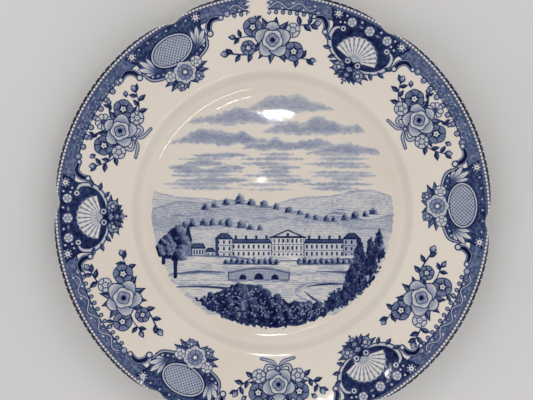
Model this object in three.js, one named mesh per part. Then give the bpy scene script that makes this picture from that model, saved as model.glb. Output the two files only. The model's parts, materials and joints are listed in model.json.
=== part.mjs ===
// A 10 inch earthenware dinner plate with a six-lobed edge, an integral foot ring and underglaze transfer prints.
//
// The plate lies on its foot ring. The origin is at the middle of the foot ring's resting plane, +Z is up through
// the face, and +Y is the upright direction of the picture in the well. Lengths are millimetres, angles are degrees
// anticlockwise from +X as the face is seen from above.
//
// The body is one turned solid. Each printed motif is a thin skin of ink and glaze laid on the body's face, as the
// separate pieces of printed tissue are laid on the fired body before glazing.
import * as THREE from "three";

// Overall size
const RIM_RADIUS = 127;
const LOBES = 6;
const LOBE_TURN = -2.5; // angle of the first notch
const NOTCH_DEPTH = 3.9;
const NOTCH_HALF_WIDTH = 3; // from a notch's middle to where it is half as deep

// Face: a level well floor, a cove that climbs to the verge, and a gently rising rim
const FLOOR_HEIGHT = 7;
const FLOOR_RADIUS = 67;
const VERGE_RADIUS = 83;
const VERGE_HEIGHT = 16;
const COVE_SKEW = 2.3; // 1 is an even cove, more keeps it shallow at the floor and steep below the verge
const RIM_SLOPE = 0.15; // rise over run
const LIP_ROUNDING = 1.5; // width of the rounded edge

// Underside
const WALL = 4.4;
const LIP_THICKNESS = 3.1;
const FOOT_HEIGHT = 2.4;
const FOOT_INNER = 67;
const FOOT_OUTER = 73.5;
const FOOT_FLAT_INNER = 69.4;
const FOOT_FLAT_OUTER = 72.4;

// Printed skins
const SKIN = 0.3; // thickness of ink and glaze together
const BED = 0.6; // how far the fired body lies below the finished face, which leaves a gap under each skin
const REPEATS = 3; // the rim's pattern repeats every third of a turn
const PRINT_TURN = 2; // the rim's transfers are turned this much from the picture's upright
const LANDSCAPE_RADIUS = 72;
const BORDER_OUTER = 123.2;
const BEAD_INNER = 123.6;
const BEAD_OUTER = 125.6;
const SKIN_GAP = 0.35; // degrees left open on each side between neighbouring skins

// Mesh resolution
const SEGMENTS = 96;
const CROWDING = 0.55; // how strongly the segments gather at the notches
const COVE_STEPS = 8;

const radians = THREE.MathUtils.degToRad;
const degrees = THREE.MathUtils.radToDeg;
const cosd = (angle) => Math.cos(radians(angle));
const sind = (angle) => Math.sin(radians(angle));

// Radius of the plate's edge at an angle: a circle with one rounded nick between each two lobes.
function edgeRadius(angle) {
  const pitch = 360 / LOBES;
  const away = THREE.MathUtils.euclideanModulo(angle - LOBE_TURN + pitch / 2, pitch) - pitch / 2;
  const nick = 1 / (1 + (away / NOTCH_HALF_WIDTH) ** 2);
  const crown = 1 / (1 + (pitch / 2 / NOTCH_HALF_WIDTH) ** 2);
  return RIM_RADIUS - (NOTCH_DEPTH * (nick - crown)) / (1 - crown);
}

// The rim is stretched between the verge and the edge, so a radius on the round profile moves with the lobes.
function lobed(radius, angle) {
  if (radius <= VERGE_RADIUS) return radius;
  const stretch = (edgeRadius(angle) - VERGE_RADIUS) / (RIM_RADIUS - VERGE_RADIUS);
  return VERGE_RADIUS + (radius - VERGE_RADIUS) * stretch;
}

function unlobed(radius, angle) {
  if (radius <= VERGE_RADIUS) return radius;
  const stretch = (edgeRadius(angle) - VERGE_RADIUS) / (RIM_RADIUS - VERGE_RADIUS);
  return VERGE_RADIUS + (radius - VERGE_RADIUS) / stretch;
}

// Height of the finished face on the round profile: level floor, skewed cubic cove, straight rim.
function faceHeight(radius) {
  if (radius <= FLOOR_RADIUS) return FLOOR_HEIGHT;
  const run = VERGE_RADIUS - FLOOR_RADIUS;
  const rise = VERGE_HEIGHT - FLOOR_HEIGHT;
  if (radius >= VERGE_RADIUS) return VERGE_HEIGHT + RIM_SLOPE * (radius - VERGE_RADIUS);
  const t = (radius - FLOOR_RADIUS) / run;
  const climb = t ** COVE_SKEW;
  return FLOOR_HEIGHT + rise * climb * climb * (3 - 2 * climb) + RIM_SLOPE * run * t ** 4 * (t - 1);
}

const faceHeightAt = (radius, angle) => faceHeight(unlobed(radius, angle));

// The body's section, from the axis under the plate, round the foot and the lip, back to the axis on the face.
function bodyProfile() {
  const points = [];
  const put = (radius, height) => points.push(new THREE.Vector2(radius, height));
  put(0, FOOT_HEIGHT);
  put(FOOT_INNER, FOOT_HEIGHT);
  put(FOOT_FLAT_INNER, 0);
  put(FOOT_FLAT_OUTER, 0);
  put(FOOT_OUTER, 1);
  const underCove = FOOT_OUTER + 1;
  for (let i = 0; i <= COVE_STEPS - 2; i++) {
    const radius = THREE.MathUtils.lerp(underCove, VERGE_RADIUS + 6, i / (COVE_STEPS - 2));
    put(radius, Math.max(2.2, faceHeight(radius - 2.2) - WALL));
  }
  const lipStart = RIM_RADIUS - LIP_ROUNDING;
  const lipTop = faceHeight(lipStart) - BED;
  put(105, (faceHeight(105) + faceHeight(105) - WALL - LIP_THICKNESS) / 2 - BED);
  put(lipStart, lipTop - LIP_THICKNESS + BED);
  put(RIM_RADIUS - 0.3, lipTop - LIP_THICKNESS + 1.1);
  put(RIM_RADIUS, lipTop - LIP_THICKNESS / 2 + 0.3);
  put(RIM_RADIUS - 0.35, lipTop - 0.5);
  put(lipStart, lipTop);
  put(104, faceHeight(104) - BED);
  for (let i = COVE_STEPS; i >= 0; i--) {
    const radius = THREE.MathUtils.lerp(FLOOR_RADIUS, VERGE_RADIUS, (i / COVE_STEPS) ** 0.6);
    put(radius, faceHeight(radius) - BED);
  }
  put(0, FLOOR_HEIGHT - BED);
  return points;
}

// LatheGeometry turns its profile about Y. This stands it up on Z, gathers its segments at the notches and
// pulls the rim in to the lobed edge.
function turned(profile, segments = SEGMENTS) {
  const geometry = new THREE.LatheGeometry(profile, segments).rotateX(Math.PI / 2);
  const position = geometry.getAttribute("position");
  for (let i = 0; i < position.count; i++) {
    const radius = Math.hypot(position.getX(i), position.getY(i));
    const even = degrees(Math.atan2(position.getY(i), position.getX(i)));
    const gathered = even - (CROWDING / LOBES) * degrees(Math.sin(LOBES * radians(even)));
    const angle = gathered + LOBE_TURN;
    const reach = lobed(radius, angle);
    position.setXY(i, reach * cosd(angle), reach * sind(angle));
  }
  return geometry;
}

// A closed skin over the part of the face between two angles and two radii, each radius a function of the angle.
function polarSkin({ from, to, inner, outer, steps = 8, rows = 2 }) {
  const positions = [];
  const index = [];
  const columns = steps + 1;
  const layer = columns * (rows + 1);
  for (const drop of [0, SKIN]) {
    for (let row = 0; row <= rows; row++) {
      for (let column = 0; column < columns; column++) {
        const angle = THREE.MathUtils.lerp(from, to, column / steps);
        const radius = THREE.MathUtils.lerp(inner(angle), outer(angle), row / rows);
        positions.push(radius * cosd(angle), radius * sind(angle), faceHeightAt(radius, angle) - drop);
      }
    }
  }
  const quad = (a, b, c, d) => index.push(a, b, c, a, c, d);
  for (let row = 0; row < rows; row++) {
    for (let column = 0; column < steps; column++) {
      const a = row * columns + column;
      quad(a, a + columns, a + columns + 1, a + 1);
      quad(a + layer, a + layer + 1, a + layer + columns + 1, a + layer + columns);
    }
  }
  for (let column = 0; column < steps; column++) {
    const far = rows * columns + column;
    quad(column, column + 1, column + 1 + layer, column + layer);
    quad(far, far + layer, far + layer + 1, far + 1);
  }
  for (let row = 0; row < rows; row++) {
    const start = row * columns;
    const end = start + steps;
    quad(start, start + layer, start + columns + layer, start + columns);
    quad(end, end + columns, end + columns + layer, end + layer);
  }
  const geometry = new THREE.BufferGeometry();
  geometry.setAttribute("position", new THREE.Float32BufferAttribute(positions, 3));
  geometry.setIndex(index);
  return geometry.toNonIndexed();
}

// An oval skin on the rim, for a flower spray: its inner and outer edges meet near its two ends.
function ovalSkin(middle, halfAngle, innermost, outermost) {
  const centre = (innermost + outermost) / 2;
  const half = (outermost - innermost) / 2;
  const spread = (angle) => Math.max(0.25, Math.sqrt(Math.max(0, 1 - ((angle - middle) / halfAngle) ** 2)));
  return polarSkin({
    from: middle - halfAngle,
    to: middle + halfAngle,
    inner: (angle) => centre - half * spread(angle),
    outer: (angle) => centre + half * spread(angle),
    steps: 8,
  });
}

// A cartouche hangs from the border like a pointed bib: widest at the border, narrow at its lowest point.
function cartoucheSkin(middle, halfAngle, lowest, shoulder) {
  const depth = (angle) => Math.min(1, Math.abs(angle - middle) / halfAngle);
  return polarSkin({
    from: middle - halfAngle + SKIN_GAP,
    to: middle + halfAngle - SKIN_GAP,
    inner: (angle) => THREE.MathUtils.lerp(lowest, shoulder, depth(angle) ** 1.3),
    outer: (angle) => Math.min(BORDER_OUTER, edgeRadius(angle) - 0.9),
    steps: 12,
    rows: 2,
  });
}

function borderSkin(from, to, inner) {
  return polarSkin({
    from: from + SKIN_GAP,
    to: to - SKIN_GAP,
    inner: () => inner,
    outer: (angle) => Math.min(BORDER_OUTER, edgeRadius(angle) - 0.9),
    steps: 8,
    rows: 1,
  });
}

// The beaded line at the edge stops where the nicks cut into it.
function beadSkin(lobe) {
  const pitch = 360 / LOBES;
  const clear = 7.5;
  const start = LOBE_TURN + lobe * pitch;
  return polarSkin({
    from: start + clear,
    to: start + pitch - clear,
    inner: () => BEAD_INNER,
    outer: (angle) => Math.min(BEAD_OUTER, edgeRadius(angle) - 1),
    steps: 10,
    rows: 1,
  });
}

function landscapeSkin() {
  const points = [new THREE.Vector2(0, FLOOR_HEIGHT - SKIN)];
  const coves = [FLOOR_RADIUS, (FLOOR_RADIUS + LANDSCAPE_RADIUS) / 2, LANDSCAPE_RADIUS];
  for (const radius of coves) points.push(new THREE.Vector2(radius, faceHeight(radius) - SKIN));
  for (const radius of coves.reverse()) points.push(new THREE.Vector2(radius, faceHeight(radius)));
  points.push(new THREE.Vector2(0, FLOOR_HEIGHT));
  return new THREE.LatheGeometry(points, 48).rotateX(Math.PI / 2);
}

const creamGlaze = new THREE.MeshStandardMaterial({ color: "#e9dfcf", roughness: 0.12, metalness: 0 });
const blueInk = new THREE.MeshStandardMaterial({ color: "#33508c", roughness: 0.12, metalness: 0 });
const paleInk = new THREE.MeshStandardMaterial({ color: "#8793ae", roughness: 0.12, metalness: 0 });

const plate = new THREE.Group();

function add(name, geometry, material) {
  const mesh = new THREE.Mesh(geometry, material);
  mesh.name = name;
  plate.add(mesh);
}

add("earthenware_body", turned(bodyProfile()), creamGlaze);
add("landscape_print", landscapeSkin(), paleInk);

for (let i = 0; i < REPEATS; i++) {
  const turn = (360 / REPEATS) * i + PRINT_TURN;
  const number = i + 1;
  add(`lattice_cartouche_print_${number}`, cartoucheSkin(turn, 15, 84.5, 116), blueInk);
  add(`shell_cartouche_print_${number}`, cartoucheSkin(turn + 60, 15, 84.5, 116), blueInk);
  add(`bouquet_print_${number}`, ovalSkin(turn + 30, 15, 85, 114.5), blueInk);
  add(`rose_spray_print_${number}`, ovalSkin(turn + 88.5, 15, 85, 114.5), blueInk);
  add(`arch_border_print_${number}`, borderSkin(turn + 15, turn + 45, 115.5), blueInk);
  add(`leaf_border_print_${number}`, borderSkin(turn + 75, turn + 105, 115.5), blueInk);
}
for (let lobe = 0; lobe < LOBES; lobe++) {
  add(`edge_bead_print_${lobe + 1}`, beadSkin(lobe), blueInk);
}

export default plate;
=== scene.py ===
"""A 10 inch blue and white earthenware dinner plate: turned body, printed rim, landscape in the well, clear glaze.

The prints are drawn here in millimetres, seen from above: x to the right, y towards the top of the landscape.
On the rim each motif is drawn as it looks turned to the top of the plate. Every line and motif is this script's
own generic design.
"""
import json
import math

import bpy
import numpy as np
from mathutils import Matrix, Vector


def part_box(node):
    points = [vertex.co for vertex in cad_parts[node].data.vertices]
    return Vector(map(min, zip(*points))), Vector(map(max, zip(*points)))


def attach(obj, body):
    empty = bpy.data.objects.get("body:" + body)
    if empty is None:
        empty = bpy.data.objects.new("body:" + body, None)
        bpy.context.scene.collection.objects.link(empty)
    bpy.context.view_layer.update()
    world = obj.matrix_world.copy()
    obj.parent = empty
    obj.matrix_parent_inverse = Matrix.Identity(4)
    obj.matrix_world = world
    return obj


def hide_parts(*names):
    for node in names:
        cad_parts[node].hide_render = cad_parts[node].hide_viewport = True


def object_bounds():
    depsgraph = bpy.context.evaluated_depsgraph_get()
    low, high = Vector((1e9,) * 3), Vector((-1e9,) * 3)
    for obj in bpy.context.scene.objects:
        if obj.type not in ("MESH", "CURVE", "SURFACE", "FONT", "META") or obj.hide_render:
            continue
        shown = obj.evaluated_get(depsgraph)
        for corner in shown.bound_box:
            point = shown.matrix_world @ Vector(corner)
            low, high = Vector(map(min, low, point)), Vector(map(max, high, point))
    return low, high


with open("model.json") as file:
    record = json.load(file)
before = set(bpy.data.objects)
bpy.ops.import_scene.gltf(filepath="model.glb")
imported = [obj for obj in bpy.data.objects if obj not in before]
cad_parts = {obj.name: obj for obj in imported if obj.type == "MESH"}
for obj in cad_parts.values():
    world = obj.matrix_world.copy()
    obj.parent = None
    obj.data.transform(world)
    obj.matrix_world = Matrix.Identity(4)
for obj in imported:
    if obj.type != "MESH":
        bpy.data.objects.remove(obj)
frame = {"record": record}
cad_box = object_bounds()

MM = 0.001
REPEATS = 3  # the rim's drawing repeats every third of a turn
LOBES = 6
LOBE_TURN = -2.5  # angle of the first nick in the edge
NOTCH_DEPTH = 3.9
NOTCH_HALF_WIDTH = 3.0
PRINT_TURN = 2.0  # the middle of the first lattice cartouche
RIM_SLOPE = 0.15  # rise over run
FILM = 0.03  # how far the printed film stands over the glaze of the body
WELL_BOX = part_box("landscape_print")
RIM_RADIUS = 126.86
VERGE_RADIUS = 83.0  # where the cove ends and the straight rim begins
FLOOR_RADIUS = 67.0
VERGE_RISE = 9.0
COVE_SKEW = 2.3  # 1 is an even cove, more keeps it shallow at the floor and steep below the verge
DISH_SLOPE = 0.06  # slope that the floor's margin turns up to
DISH_START = 59.0  # where the floor starts to turn up
DISH_END = 70.0  # where it has reached its slope
DISH_FADE = 4.0  # width over which it levels out again
LIP_ROUNDING = 1.6  # width of the rounded edge
LIP_DROP = 0.22
STILT_RADIUS = 101  # of the ring that the kiln's stilts leave their marks on
STILT_TURNS = (35, 155, 275)
STILT_SIZE = 1.4
STILT_HEIGHT = 0.25
MOUNTS = {m["name"]: m for m in frame["record"]["mounts"]}
FLOOR_HEIGHT = MOUNTS["well_floor"]["pos_m"][2] / MM
FOOT_RADIUS = MOUNTS["foot_ring"]["pos_m"][0] / MM
LANDSCAPE_RADIUS = (WELL_BOX[1][0] - WELL_BOX[0][0]) / 2 / MM


def spline(points, closed=True, per=6):
    """A smooth curve through the points."""
    p = np.asarray(points, float)
    if closed:
        p = np.vstack([p[-1], p, p[0], p[1]])
    else:
        p = np.vstack([2 * p[0] - p[1], p, 2 * p[-1] - p[-2]])
    t = np.arange(per)[:, None] / per
    out = []
    for a, b, c, d in zip(p[:-3], p[1:-2], p[2:-1], p[3:]):
        out.append(b + 0.5 * t * (c - a + t * (2 * a - 5 * b + 4 * c - d + t * (3 * (b - c) + d - a))))
    if not closed:
        out.append(p[-2:-1])
    return np.vstack(out)


def unit(angle):
    """Cosine and sine of an angle in degrees."""
    return math.cos(math.radians(angle)), math.sin(math.radians(angle))


def polar(x, y, radius, a, squash=1.0):
    """Points round a centre, at one radius or one for each angle; squash flattens them in y."""
    return np.column_stack([x + radius * np.cos(a), y + radius * squash * np.sin(a)])


def arc(x, y, radius, start, end, squash=1.0, count=14):
    """Points along an arc, in degrees."""
    return polar(x, y, radius, np.radians(np.linspace(start, end, count)), squash)


def depth_in(x, y, outline):
    """How far each point lies inside a closed outline, negative outside."""
    a = outline[:, None, :]
    b = np.roll(outline, -1, 0)[:, None, :]
    run = b - a
    fx, fy = x - a[..., 0], y - a[..., 1]
    along = (fx * run[..., 0] + fy * run[..., 1]) / ((run**2).sum(-1) + 1e-12)
    along = np.clip(along, 0, 1)
    away = np.hypot(fx - along * run[..., 0], fy - along * run[..., 1]).min(0)
    high = (a[..., 1] > y) != (b[..., 1] > y)
    rise = np.where(run[..., 1] == 0, 1e-12, run[..., 1])
    crossed = high & (fx < run[..., 0] * fy / rise)
    return np.where(crossed.sum(0) % 2 == 1, away, -away)


class Pen:
    """Draws on scattered points. Ink runs from 0, bare glaze, to 1, solid cobalt. Lengths are millimetres."""

    SOFT = 0.3  # width over which an edge fades

    def __init__(self, x, y, ink):
        self.x, self.y, self.ink = x, y, ink

    def near(self, low, high):
        """Which points lie in an upright box."""
        return np.nonzero((self.x > low[0]) & (self.x < high[0]) & (self.y > low[1]) & (self.y < high[1]))[0]

    def lay(self, where, depth, tone):
        """Inks some of the points, by how deep each lies inside a form."""
        cover = np.clip(0.5 + depth / self.SOFT, 0, 1)
        self.ink[where] += (tone - self.ink[where]) * cover

    def shape(self, outline, tone, edge=None, line=0.45):
        """Fills an outline. tone is a number or a function of x, y and depth; edge inks a line round it."""
        outline = np.asarray(outline, float)
        where = self.near(outline.min(0) - 1, outline.max(0) + 1)
        if not len(where):
            return
        x, y = self.x[where], self.y[where]
        depth = depth_in(x, y, outline)
        self.lay(where, depth, tone(x, y, depth) if callable(tone) else tone)
        if edge is not None:
            self.lay(where, line / 2 - np.abs(depth - line / 2), edge)

    def blob(self, points, tone, edge, line):
        """Fills a rounded outline."""
        self.shape(spline(points, True, 5), tone, edge, line)

    def stroke(self, points, width, tone, smooth=True):
        """A line along the points. width is one number, or the widths at evenly spaced stations."""
        path = spline(points, False, 6) if smooth and len(points) > 2 else np.asarray(points, float)
        width = np.atleast_1d(np.asarray(width, float))
        stations = np.linspace(0, 1, len(path))
        if len(width) > 1:
            half = np.interp(stations, np.linspace(0, 1, len(width)), width) / 2
        else:
            half = np.full(len(path), width[0] / 2)
        reach = half.max() + 1
        where = self.near(path.min(0) - reach, path.max(0) + reach)
        if not len(where):
            return
        x, y = self.x[where], self.y[where]
        a, run = path[:-1, None, :], np.diff(path, axis=0)[:, None, :]
        fx, fy = x - a[..., 0], y - a[..., 1]
        along = np.clip((fx * run[..., 0] + fy * run[..., 1]) / ((run**2).sum(-1) + 1e-12), 0, 1)
        thick = half[:-1, None] + along * np.diff(half)[:, None]
        depth = (thick - np.hypot(fx - along * run[..., 0], fy - along * run[..., 1])).max(0)
        self.lay(where, depth, tone(x, y, depth) if callable(tone) else tone)

    def disc(self, x, y, radius, tone, edge=None, line=0.4):
        self.shape(arc(x, y, radius, 0, 340, 1.0, 18), tone, edge, line)


def fan(cx, cy, near, far, reach, rays=0, strength=0.25):
    """Tone that changes with distance from a point, with engraved rays out of it."""
    def tone(x, y, d):
        run = np.hypot(x - cx, y - cy)
        value = near + (far - near) * np.clip(run / reach, 0, 1)
        if rays:
            turn = np.arctan2(y - cy, x - cx)
            value = value + strength * np.cos(rays * turn) * np.clip(run / reach, 0.2, 1)
        return np.clip(value, 0, 1)
    return tone


def ruled(angle, pitch, low, high):
    """Tone of parallel engraved lines."""
    c, s = unit(angle)
    return lambda x, y, d: low + (high - low) * (0.5 + 0.5 * np.cos(math.tau * (y * c - x * s) / pitch))


def petal_outline(x, y, angle, length, width, widest, blunt):
    """A petal or leaf that grows from x, y. blunt under 1 rounds its tip, over 1 draws it to a point."""
    t = np.linspace(0, 1, 9)
    swell = np.log(0.5) / np.log(widest)
    half = width / 2 * np.sin(math.pi * t**swell) ** blunt
    half[0], half[-1] = width * 0.05, 0
    spine = t * length
    left = np.column_stack([spine, half])
    right = np.column_stack([spine, -half])[::-1][1:]
    p = np.vstack([left, right])
    c, s = unit(angle)
    return np.column_stack([x + p[:, 0] * c - p[:, 1] * s, y + p[:, 0] * s + p[:, 1] * c])


def leaf(pen, x, y, angle, length, width, tone, edge=0.96):
    """A pointed leaf with a dark half, a pale half and a midrib."""
    outline = petal_outline(x, y, angle, length, width, 0.45, 1.1)
    c, s = unit(angle)

    def halves(px, py, d):
        u = (px - x) * c + (py - y) * s
        v = (py - y) * c - (px - x) * s
        veins = 0.10 * np.cos(math.tau * (u - 1.1 * np.abs(v)) / 1.5)
        return np.clip(tone + np.where(v > 0, -0.13, 0.14) + veins, 0, 1)

    pen.shape(spline(outline, True, 2), halves, edge)
    if length > 3.4:
        midrib = [(x + length * k * c, y + length * k * s) for k in (0.08, 0.45, 0.82)]
        pen.stroke(midrib, (0.42, 0.3, 0.1), min(1.0, tone + 0.25))


def sprig(pen, points, leaves, length, width, tone, stem):
    """A stem along the points with leaves set at the given stations: (share of the stem, angle, size)."""
    path = spline(points, False, 8)
    pen.stroke(points, (stem, stem * 0.7), 0.9)
    for share, angle, size in leaves:
        px, py = path[int(round(share * (len(path) - 1)))]
        leaf(pen, px, py, angle, length * size, width * size, tone)


def flower(pen, x, y, radius, count, turn, tone, far, edge=0.95, width=4, blunt=0.55, rays=20,
           heart=0.05, heart_size=0.3, line=0.42):
    """An open flower seen from above, its petals overlapping round a heart. tone is its middle, far its rim."""
    for k in range(count):
        outline = petal_outline(x, y, turn + 360 * k / count, radius, width, 0.66, blunt)
        pen.shape(spline(outline, True, 2), fan(x, y, tone, far, radius, rays, 0.12), edge, line)
    if heart is not None:
        size = radius * heart_size
        pen.disc(x, y, size * 1.35, min(1.0, tone + 0.35))
        pen.shape(star(x, y, size * 1.15, 5, turn + 36, 0.62), heart)
        pen.disc(x, y, size * 0.28, 0.65)


def star(x, y, radius, points, turn, inner):
    a = np.radians(turn + np.arange(points * 2) * 180 / points)
    return polar(x, y, np.where(np.arange(points * 2) % 2 == 0, radius, radius * inner), a)


def frill(x, y, radius, lobes, turn, wave):
    """The scalloped outline of a ruffled bloom."""
    a = np.radians(np.linspace(0, 360, max(24, lobes * 6), endpoint=False))
    swell = 1 - wave + 2 * wave * np.abs(np.cos(lobes * (a - math.radians(turn)) / 2))
    return polar(x, y, radius * swell, a)


def ruffled(pen, x, y, radius, lobes, turn, tone, pale, heart):
    """A ruffled bloom: scalloped rings of petals round a heart."""
    pen.shape(frill(x, y, radius, lobes, turn, 0.09), fan(x, y, tone + 0.2, pale, radius, lobes * 5, 0.13),
              0.95, 0.42)
    inner = radius * 0.66
    pen.shape(frill(x, y, inner, lobes, turn + 180 / lobes, 0.1),
              fan(x, y, tone + 0.35, tone - 0.05, inner, lobes * 4, 0.15), 0.87, 0.42 * 0.9)
    pen.disc(x, y, radius * 0.3, 0.85)
    pen.shape(star(x, y, radius * 0.24, 5, turn + 90, 0.6), heart)


def mottle(x, y, scale, seed):
    """Smooth random tone from 0 to 1 that varies over the given length."""
    lattice = np.random.default_rng(seed).random((96, 96))
    u, v = x / scale + 400.0, y / scale + 400.0
    i, j = np.floor(u).astype(int), np.floor(v).astype(int)
    s, t = u - i, v - j
    s, t = s * s * (3 - 2 * s), t * t * (3 - 2 * t)
    a, b = lattice[i % 96, j % 96], lattice[(i + 1) % 96, j % 96]
    c, d = lattice[i % 96, (j + 1) % 96], lattice[(i + 1) % 96, (j + 1) % 96]
    return (a * (1 - s) + b * s) * (1 - t) + (c * (1 - s) + d * s) * t


def ragged(pen, points, tone, fray, scale, seed, fade):
    """A mass with a frayed edge: a cloud, a lake or foliage."""
    outline = spline(points, True, 5)
    where = pen.near(outline.min(0) - fray, outline.max(0) + fray)
    x, y = pen.x[where], pen.y[where]
    depth = depth_in(x, y, outline) + fray * (mottle(x, y, scale, seed) - 0.5) * 2
    cover = np.clip(0.5 + depth / fade, 0, 1)
    pen.ink[where] += (tone(x, y, depth) - pen.ink[where]) * cover


def streak(pen, x0, x1, y, thick, tone, seed):
    """A long flat cloud that tapers at both ends."""
    n = max(4, int((x1 - x0) / 7))
    rng = np.random.default_rng(seed)
    t = np.linspace(0, 1, n)
    swell = thick / 2 * np.minimum(1, 3.2 * np.minimum(t, 1 - t)) ** 0.8
    top = [(x0 + (x1 - x0) * k, y + s * rng.uniform(0.8, 1.25)) for k, s in zip(t, swell)]
    low = [(x0 + (x1 - x0) * k, y - s * rng.uniform(0.7, 1.0)) for k, s in zip(t, swell)]
    ragged(pen, top + low[::-1][1:-1], cloud_tone(tone), 0.45, 1.7, seed + 3, 0.9)


def cloud_tone(tone):
    """Engraved cloud: fine level lines over a stippled ground, paler towards its outline."""
    def value(x, y, d):
        grain = mottle(x, y * 2.2, 2.6, 5)
        lines = 0.045 * np.cos(math.tau * (y + 0.8 * mottle(x, y, 9, 8)) / 0.95)
        return np.clip(tone * (0.62 + 0.5 * np.clip(d / 3.2, 0, 1)) + 0.10 * (grain - 0.5) + lines, 0, 1)
    return value


def foliage(low, high, scale, seed, bias):
    """Leafy tone: small dark clumps with lights between them."""
    def value(x, y, d):
        fine = mottle(x, y, scale * 0.55, seed + 1)
        coarse = mottle(x, y, scale * 2.4, seed)
        v = np.clip(1.5 * (0.6 * fine + 0.4 * coarse) - 0.25, 0, 1) ** (1 / bias)
        return low + (high - low) * v
    return value


def clump(pen, x, y, w, h, low, high, seed):
    """A round tree or bush, lit from the upper right."""
    outline = [(x - w / 2, y), (x - w * 0.46, y + h * 0.5), (x - w * 0.22, y + h * 0.9), (x + w * 0.05, y + h),
               (x + w * 0.32, y + h * 0.82), (x + w * 0.48, y + h * 0.45), (x + w / 2, y), (x, y - h * 0.06)]

    def value(px, py, d):
        lit = np.clip(0.5 + (px - x) / w * 1.5 + (py - y - h * 0.5) / h * 0.7, 0, 1)
        leafy = mottle(px, py, 0.8, seed + 9)
        return np.clip(high - (high - low) * (0.75 * lit + 0.5 * (leafy - 0.4)), 0, 1)
    ragged(pen, outline, value, 0.5, 0.9, seed, 0.4)


def box(pen, x0, x1, y0, y1, tone, edge=None):
    pen.shape([(x0, y0), (x1, y0), (x1, y1), (x0, y1)], tone, edge, 0.35)


def windows(pen, x0, x1, count, y, w, h, tone=0.97, arch=False):
    """A row of windows in a wall."""
    for x in np.linspace(x0, x1, count):
        box(pen, x - w / 2, x + w / 2, y - h / 2, y + h / 2, tone)
        if arch:
            pen.disc(x, y + h / 2, w / 2, tone)


def roof(pen, x0, x1, y0, y1, eaves, hip, tone, edge):
    """A hipped roof over a wall: its foot stands out by the eaves, its ridge stands in by the hip."""
    pen.shape([(x0 - eaves, y0), (x1 + eaves, y0), (x1 - hip, y1), (x0 + hip, y1)], tone, edge)


def bank(pen, x0, x1, y, height, tone, seed):
    """A cumulus bank: a heaped upper edge over a flat base."""
    rng = np.random.default_rng(seed)
    n = max(5, int((x1 - x0) / 5.5))
    t = np.linspace(0, 1, n)
    heap = np.sin(math.pi * t) ** 0.55 * rng.uniform(0.45, 1.0, n) * height
    top = [(x0 + (x1 - x0) * k, y + h) for k, h in zip(t, heap)]
    low = [(x0 + (x1 - x0) * k, y - 0.22 * height * math.sin(math.pi * k) * rng.uniform(0.4, 1.0))
           for k in t[::-1][1:-1]]
    ragged(pen, top + low, cloud_tone(tone), 0.7, 2.0, seed, 1.1)


def sky(pen):
    """Heaped clouds high up, and thin level ones scattered below them down to the hills."""
    rng = np.random.default_rng(21)
    for x, y, half, height, tone in ((9, 60, 27, 9.5, 0.27), (-23, 52.5, 29, 10, 0.30), (25, 46.5, 32, 11, 0.31),
                                     (-29, 40.5, 31, 10, 0.34), (11, 37, 28, 9, 0.36), (42, 34, 22, 7, 0.34)):
        bank(pen, x - half, x + half, y, height, tone, int(y * 10))
    for k, y in enumerate(np.arange(33.5, 12, -2.5)):
        reach = math.sqrt(68.5**2 - y**2) - 2
        x = -reach + rng.uniform(0, 12)
        while x < reach - 12:
            length = rng.uniform(18, 46)
            end = min(x + length, reach - rng.uniform(0, 5))
            streak(pen, x, end, y + rng.uniform(-0.6, 0.6), rng.uniform(1.7, 4.0), rng.uniform(0.33, 0.41),
                   10 * k + int(x + 80))
            x = end + rng.uniform(2, 11)


def downs(tone, slope=0.0):
    """Stippled turf crossed by fine level lines, darker along its skyline."""
    def value(x, y, d):
        run = y + slope * x + 1.6 * mottle(x, y, 14, 4)
        return np.clip(tone + 0.14 * (mottle(x, y * 1.6, 1.6, 6) - 0.5) + 0.05 * np.cos(math.tau * run / 1.5)
                       + 0.16 * np.clip(1 - d / 1.4, 0, 1) + 0.10 * (mottle(x, y * 2, 12, 7) - 0.5), 0, 1)
    return value


def ridge(pen, crest, foot, tone):
    """Land from a skyline down to a level, within the round view."""
    where = np.nonzero((pen.y < 20) & (pen.y > foot - 2))[0]
    x, y = pen.x[where], pen.y[where]
    edge = 70.2 + 1.2 * mottle(x, y, 2.0, 51) - np.hypot(x, y)
    depth = np.minimum(crest(x) + 0.5 * (mottle(x, y, 2.2, 31) - 0.5) - y, (y - foot) + 0.5)
    pen.lay(where, np.minimum(depth, edge), tone(x, y, depth))


def hills(pen):
    """Three smooth ranges of downs and a scatter of hedgerow trees."""
    ridge(pen, lambda x: 7.5 + 4.6 * np.sin(x / 19 - 0.9) + 1.5 * np.sin(x / 7.3), -24, downs(0.17, 0.1))
    ridge(pen, lambda x: 1.5 + 5.2 * np.cos(x / 27 + 1.3) + 0.9 * np.sin(x / 5.1), -26, downs(0.26, -0.12))
    ridge(pen, lambda x: -7.5 + 3.4 * np.cos(x / 21 - 0.4) + 0.7 * np.sin(x / 4.3), -27, downs(0.19, 0.06))
    rng = np.random.default_rng(5)
    for x0, x1, base, sway, count in ((-40, 16, 1.2, 3.2, 9), (20, 60, -3.4, -2.4, 8), (-52, -8, -9.4, 1.6, 9)):
        for k, t in enumerate(np.linspace(0, 1, count)):
            x = x0 + (x1 - x0) * t + rng.uniform(-1, 1)
            y = base + sway * math.sin(math.pi * t * 1.3) + rng.uniform(-0.3, 0.3)
            size = rng.uniform(2.6, 5.6)
            clump(pen, x, y, size, size * rng.uniform(0.75, 1.15), 0.22, 0.9, int(400 + 10 * k - x))
            pen.stroke([(x - size * 0.7, y - 0.1), (x + size * 0.8, y - 0.3)], (0.3, 0.7, 0.3), 0.7)
    for k in range(9):
        x, y = rng.uniform(-55, 52), rng.uniform(-5, 7)
        pen.stroke([(x - 5, y), (x, y + 0.6), (x + 6, y - 0.2)], (0.2, 0.7, 0.2), 0.5)


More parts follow.
